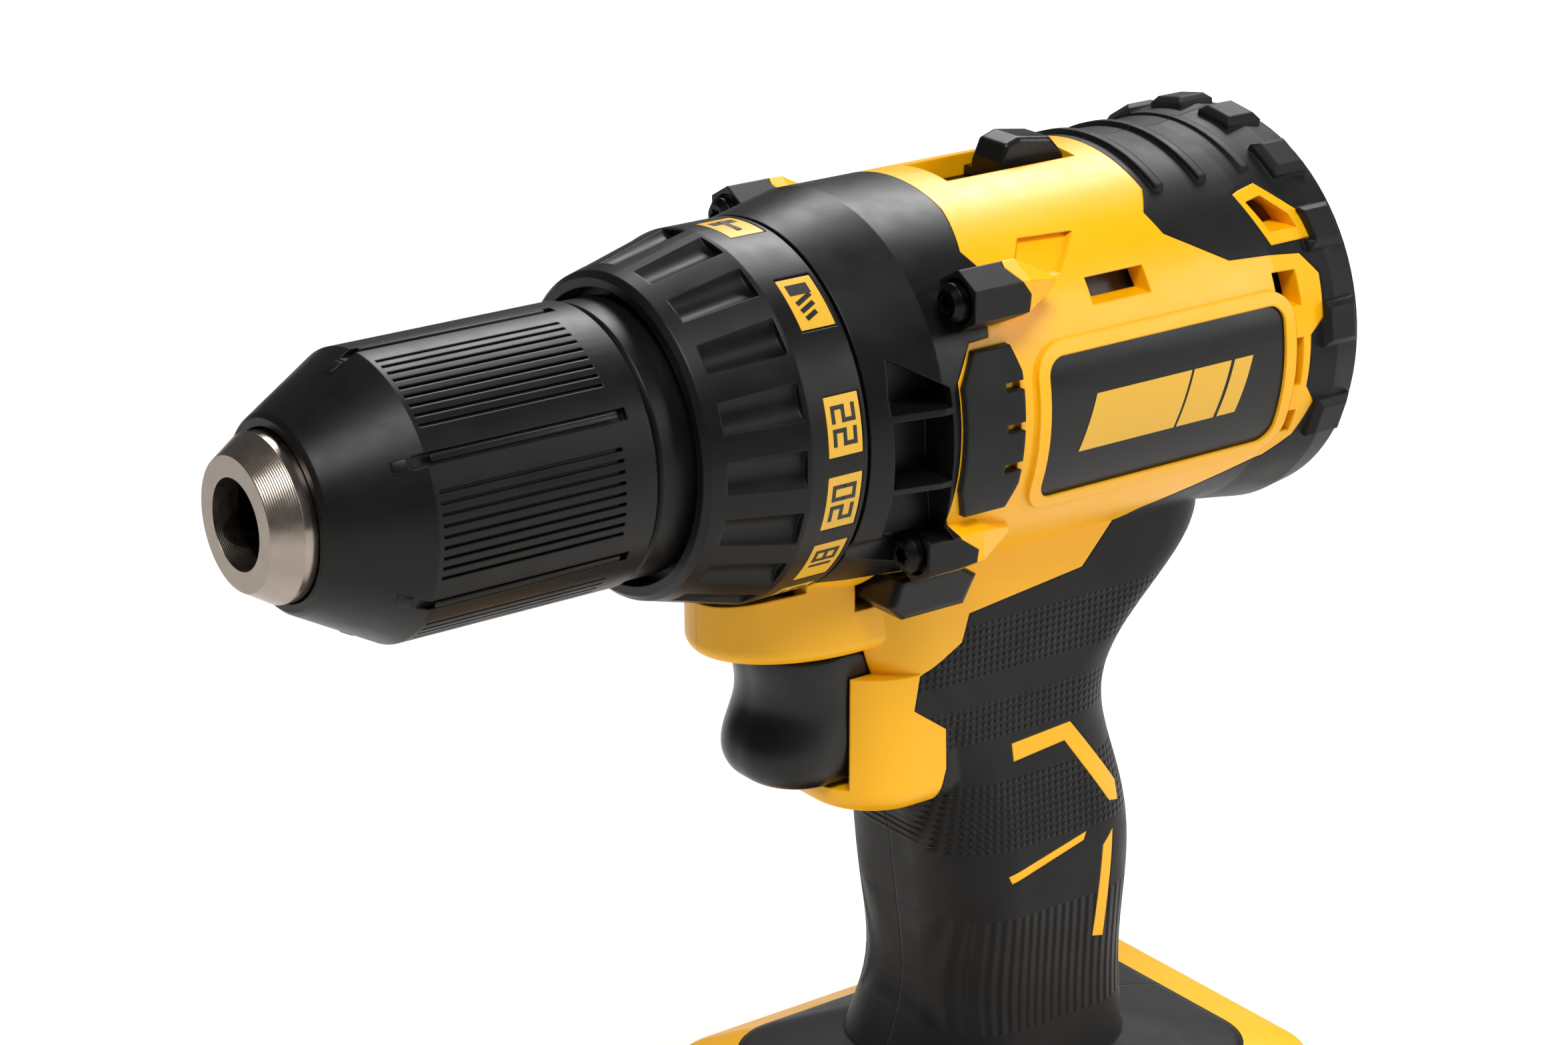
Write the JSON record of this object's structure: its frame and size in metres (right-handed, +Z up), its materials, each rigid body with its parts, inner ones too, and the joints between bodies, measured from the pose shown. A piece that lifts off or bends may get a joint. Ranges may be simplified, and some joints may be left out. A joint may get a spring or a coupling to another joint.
{
  "type": "cordless drill",
  "caption": "Cordless drill with a keyless chuck, torque collar, geared motor in a round barrel, trigger grip and a slide-on battery under the foot.",
  "frame": {"origin": "centre of the chuck's mouth on the spindle's axis", "axes": "+X the way the bit points, +Z up, +Y the tool's left side"},
  "size_m": [0.19, 0.074, 0.2199],
  "materials": {
    "yellow_abs": "satin moulded",
    "black_nylon": "fine spark-eroded grain",
    "rubber": "matt, moulded texture",
    "trigger_black": "smooth satin",
    "nose_steel": "turned",
    "steel": "machined",
    "black_steel": "black oxide",
    "plate_black": "smooth",
    "copper": "enamelled wire",
    "lamination": "stacked sheet",
    "board": "solder mask",
    "lens": "clear",
    "cell_wrap": "shrink film"
  },
  "bodies": {
    "housing": {"left_housing": "yellow_abs", "right_housing": "yellow_abs", "left_overmold": "rubber", "right_overmold": "rubber", "gearcase": "black_nylon", "gearcase_screws": "black_steel", "left_nameplate": "plate_black", "right_nameplate": "plate_black", "left_side_pad": "rubber", "right_side_pad": "rubber", "rear_cap": "black_nylon", "ring_gear_1": "steel", "ring_gear_2": "steel", "spindle_bearing": "steel", "motor_plate": "black_nylon", "motor_front_bearing": "steel", "motor_rear_bearing": "steel", "motor_board": "board", "stator": "lamination", "windings": "copper", "switch_module": "black_nylon", "terminal_block": "black_nylon", "lamp_lens": "lens"},
    "chuck": {"chuck_body": "nose_steel", "chuck_rear_ring": "black_nylon", "chuck_screw": "steel", "spindle": "steel", "output_carrier": "steel"},
    "sleeve": {"chuck_sleeve": "black_nylon", "chuck_nut": "steel"},
    "jaw_a": {"jaw_1": "steel"},
    "jaw_b": {"jaw_2": "steel"},
    "jaw_c": {"jaw_3": "steel"},
    "collar": {"torque_collar": "black_nylon"},
    "carrier": {"stage_1_carrier": "steel"},
    "motor": {"rotor": "lamination", "motor_shaft": "steel", "fan": "black_nylon", "motor_pinion": "steel"},
    "selector": {"gear_selector": "trigger_black"},
    "trigger": {"trigger": "trigger_black"},
    "button": {"direction_button": "trigger_black"},
    "battery": {"battery_top_case": "black_nylon", "battery_bottom_case": "black_nylon", "battery_cells": "cell_wrap"},
    "latch": {"battery_latch": "yellow_abs"},
    "planet_1a_body": {"planet_1a": "steel"},
    "planet_1b_body": {"planet_1b": "steel"},
    "planet_1c_body": {"planet_1c": "steel"},
    "planet_2a_body": {"planet_2a": "steel"},
    "planet_2b_body": {"planet_2b": "steel"},
    "planet_2c_body": {"planet_2c": "steel"}
  },
  "joints": [
    {"name": "rotor_spin", "type": "hinge", "parent": "housing", "child": "motor", "pos_m": [-0.14, 0, 0], "axis": [1, 0, 0], "continuous": true},
    {"name": "carrier_spin", "type": "hinge", "parent": "housing", "child": "carrier", "pos_m": [-0.1, 0, 0], "axis": [1, 0, 0], "continuous": true},
    {"name": "spindle_spin", "type": "hinge", "parent": "housing", "child": "chuck", "pos_m": [0, 0, 0], "axis": [1, 0, 0], "continuous": true},
    {"name": "sleeve_turn", "type": "hinge", "parent": "chuck", "child": "sleeve", "pos_m": [0, 0, 0], "axis": [1, 0, 0], "range_deg": [0, 4320]},
    {"name": "jaw_a_slide", "type": "slide", "parent": "chuck", "child": "jaw_a", "axis": [0.9681, 0, -0.2504], "range_m": [0, 0.0241]},
    {"name": "jaw_b_slide", "type": "slide", "parent": "chuck", "child": "jaw_b", "axis": [0.9681, 0.2168, 0.1252], "range_m": [0, 0.0241]},
    {"name": "jaw_c_slide", "type": "slide", "parent": "chuck", "child": "jaw_c", "axis": [0.9681, -0.2168, 0.1252], "range_m": [0, 0.0241]},
    {"name": "planet_1a_spin", "type": "hinge", "parent": "carrier", "child": "planet_1a_body", "pos_m": [-0.105, 0.0108, 0], "axis": [1, 0, 0], "continuous": true},
    {"name": "planet_1b_spin", "type": "hinge", "parent": "carrier", "child": "planet_1b_body", "pos_m": [-0.105, -0.0054, 0.00935], "axis": [1, 0, 0], "continuous": true},
    {"name": "planet_1c_spin", "type": "hinge", "parent": "carrier", "child": "planet_1c_body", "pos_m": [-0.105, -0.0054, -0.00935], "axis": [1, 0, 0], "continuous": true},
    {"name": "planet_2a_spin", "type": "hinge", "parent": "chuck", "child": "planet_2a_body", "pos_m": [-0.093, 0.0108, 0], "axis": [1, 0, 0], "continuous": true},
    {"name": "planet_2b_spin", "type": "hinge", "parent": "chuck", "child": "planet_2b_body", "pos_m": [-0.093, -0.0054, 0.00935], "axis": [1, 0, 0], "continuous": true},
    {"name": "planet_2c_spin", "type": "hinge", "parent": "chuck", "child": "planet_2c_body", "pos_m": [-0.093, -0.0054, -0.00935], "axis": [1, 0, 0], "continuous": true},
    {"name": "collar_turn", "type": "hinge", "parent": "housing", "child": "collar", "pos_m": [-0.08, 0, 0], "axis": [1, 0, 0], "range_deg": [0, 320]},
    {"name": "gear_shift", "type": "slide", "parent": "housing", "child": "selector", "axis": [1, 0, 0], "range_m": [0, 0.01]},
    {"name": "trigger_pull", "type": "slide", "parent": "housing", "child": "trigger", "axis": [-1, 0, 0], "range_m": [0, 0.006], "stiffness_N_per_m": 1200, "springref_m": -0.002},
    {"name": "direction_push", "type": "slide", "parent": "housing", "child": "button", "axis": [0, -1, 0], "range_m": [0, 0.007]},
    {"name": "battery_slide", "type": "slide", "parent": "housing", "child": "battery", "axis": [1, 0, 0], "range_m": [0, 0.08]},
    {"name": "latch_press", "type": "slide", "parent": "battery", "child": "latch", "axis": [-1, 0, 0], "range_m": [0, 0.003], "stiffness_N_per_m": 900, "springref_m": -0.002}
  ],
  "couplings": [
    {"joint": "spindle_spin", "follows": "rotor_spin", "ratio": 0.0625},
    {"joint": "carrier_spin", "follows": "rotor_spin", "ratio": 0.25},
    {"joint": "jaw_a_slide", "follows": "sleeve_turn", "m_per_rad": 0.00031831},
    {"joint": "jaw_b_slide", "follows": "sleeve_turn", "m_per_rad": 0.00031831},
    {"joint": "jaw_c_slide", "follows": "sleeve_turn", "m_per_rad": 0.00031831},
    {"joint": "planet_1a_spin", "follows": "rotor_spin", "ratio": -0.75},
    {"joint": "planet_1b_spin", "follows": "rotor_spin", "ratio": -0.75},
    {"joint": "planet_1c_spin", "follows": "rotor_spin", "ratio": -0.75},
    {"joint": "planet_2a_spin", "follows": "rotor_spin", "ratio": -0.1875},
    {"joint": "planet_2b_spin", "follows": "rotor_spin", "ratio": -0.1875},
    {"joint": "planet_2c_spin", "follows": "rotor_spin", "ratio": -0.1875}
  ]
}
